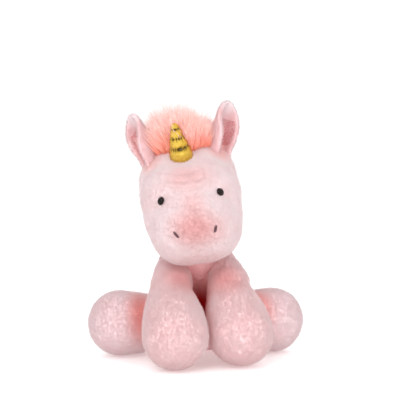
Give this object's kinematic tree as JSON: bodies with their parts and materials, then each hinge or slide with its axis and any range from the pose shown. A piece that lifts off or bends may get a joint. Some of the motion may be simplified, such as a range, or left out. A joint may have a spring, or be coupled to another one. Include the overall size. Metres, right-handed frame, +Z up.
{
  "type": "plush unicorn",
  "caption": "Seated pale pink plush unicorn with a floppy turning and nodding head, fluffy coral mane, gold foil horn, folding ears and soft moving legs and tail.",
  "frame": {"origin": "middle of the flat underside of the seat, where the toy rests", "axes": "+Z up, the toy looks along -Y, +X is the toy's own left"},
  "size_m": [0.209, 0.2198, 0.2413],
  "materials": {
    "plush": "short velvety pale pink pile, matte with a soft sheen",
    "filling": "loose white polyester fibre",
    "washer_plastic": "plain moulded plastic",
    "eye_plastic": "polished black",
    "pouch_cloth": "thin woven lining cloth",
    "pellets": "small plastic pellets",
    "gold_foil": "gold foil cloth with a metallic shine",
    "gold_thread": "wound metallic thread",
    "seam_thread": "pink sewing thread",
    "nostril_thread": "mauve-brown embroidery thread",
    "long_pile": "long fluffy coral-peach pile",
    "long_pile_backing": "woven backing cloth",
    "ear_satin": "deeper pink short-pile cloth"
  },
  "bodies": {
    "torso": {"body_cover": "plush", "body_stuffing": "filling", "seat_pouch": "pouch_cloth", "seat_pellets": "pellets", "back_seam_thread": "seam_thread", "tail_tab": "long_pile_backing"},
    "tail": {"tail_tuft": "long_pile"},
    "neck": {"neck_stuffing": "filling"},
    "head": {"head_cover": "plush", "head_stuffing": "filling", "left_eye": "eye_plastic", "right_eye": "eye_plastic", "left_eye_washer": "washer_plastic", "right_eye_washer": "washer_plastic", "left_nostril_stitch": "nostril_thread", "right_nostril_stitch": "nostril_thread", "horn_cover": "gold_foil", "horn_stuffing": "filling", "horn_winding": "gold_thread", "forelock": "long_pile", "mane": "long_pile"},
    "left_ear": {"left_ear_back": "plush", "left_ear_lining": "ear_satin"},
    "right_ear": {"right_ear_back": "plush", "right_ear_lining": "ear_satin"},
    "left_front_leg": {"left_front_leg_cover": "plush", "left_front_leg_stuffing": "filling"},
    "right_front_leg": {"right_front_leg_cover": "plush", "right_front_leg_stuffing": "filling"},
    "left_hind_leg": {"left_hind_leg_cover": "plush", "left_hind_leg_stuffing": "filling"},
    "right_hind_leg": {"right_hind_leg_cover": "plush", "right_hind_leg_stuffing": "filling"}
  },
  "joints": [
    {"name": "head_turn", "type": "hinge", "parent": "torso", "child": "neck", "pos_m": [0, -0.013, 0.08], "axis": [0, 0, 1], "range_deg": [-25, 25], "stiffness_Nm_per_rad": 0.3},
    {"name": "head_nod", "type": "hinge", "parent": "neck", "child": "head", "pos_m": [0, -0.013, 0.08], "axis": [-1, 0, 0], "range_deg": [-5, 20], "stiffness_Nm_per_rad": 0.6, "springref_deg": 143.24},
    {"name": "left_ear_fold", "type": "hinge", "parent": "head", "child": "left_ear", "pos_m": [0.01966, -0.03647, 0.1994], "axis": [0.9637, -0.1354, -0.23], "range_deg": [-15, 20], "stiffness_Nm_per_rad": 0.02},
    {"name": "right_ear_fold", "type": "hinge", "parent": "head", "child": "right_ear", "pos_m": [-0.04494, -0.02739, 0.18942], "axis": [0.8997, -0.1264, 0.4179], "range_deg": [-15, 20], "stiffness_Nm_per_rad": 0.02},
    {"name": "left_front_leg_lift", "type": "hinge", "parent": "torso", "child": "left_front_leg", "pos_m": [0.027, -0.057, 0.066], "axis": [-0.766, 0, 0.6428], "range_deg": [0, 30], "stiffness_Nm_per_rad": 0.15},
    {"name": "right_front_leg_lift", "type": "hinge", "parent": "torso", "child": "right_front_leg", "pos_m": [-0.027, -0.057, 0.066], "axis": [-0.766, 0, -0.6428], "range_deg": [0, 30], "stiffness_Nm_per_rad": 0.15},
    {"name": "left_hind_leg_splay", "type": "hinge", "parent": "torso", "child": "left_hind_leg", "pos_m": [0.0565, -0.024, 0.034], "axis": [0, 0, 1], "range_deg": [-10, 25], "stiffness_Nm_per_rad": 0.15},
    {"name": "right_hind_leg_splay", "type": "hinge", "parent": "torso", "child": "right_hind_leg", "pos_m": [-0.0565, -0.024, 0.034], "axis": [0, 0, -1], "range_deg": [-10, 25], "stiffness_Nm_per_rad": 0.15},
    {"name": "tail_wag", "type": "hinge", "parent": "torso", "child": "tail", "pos_m": [0, 0.047, 0.034], "axis": [0, 1, 0], "range_deg": [-30, 30], "stiffness_Nm_per_rad": 0.01}
  ]
}
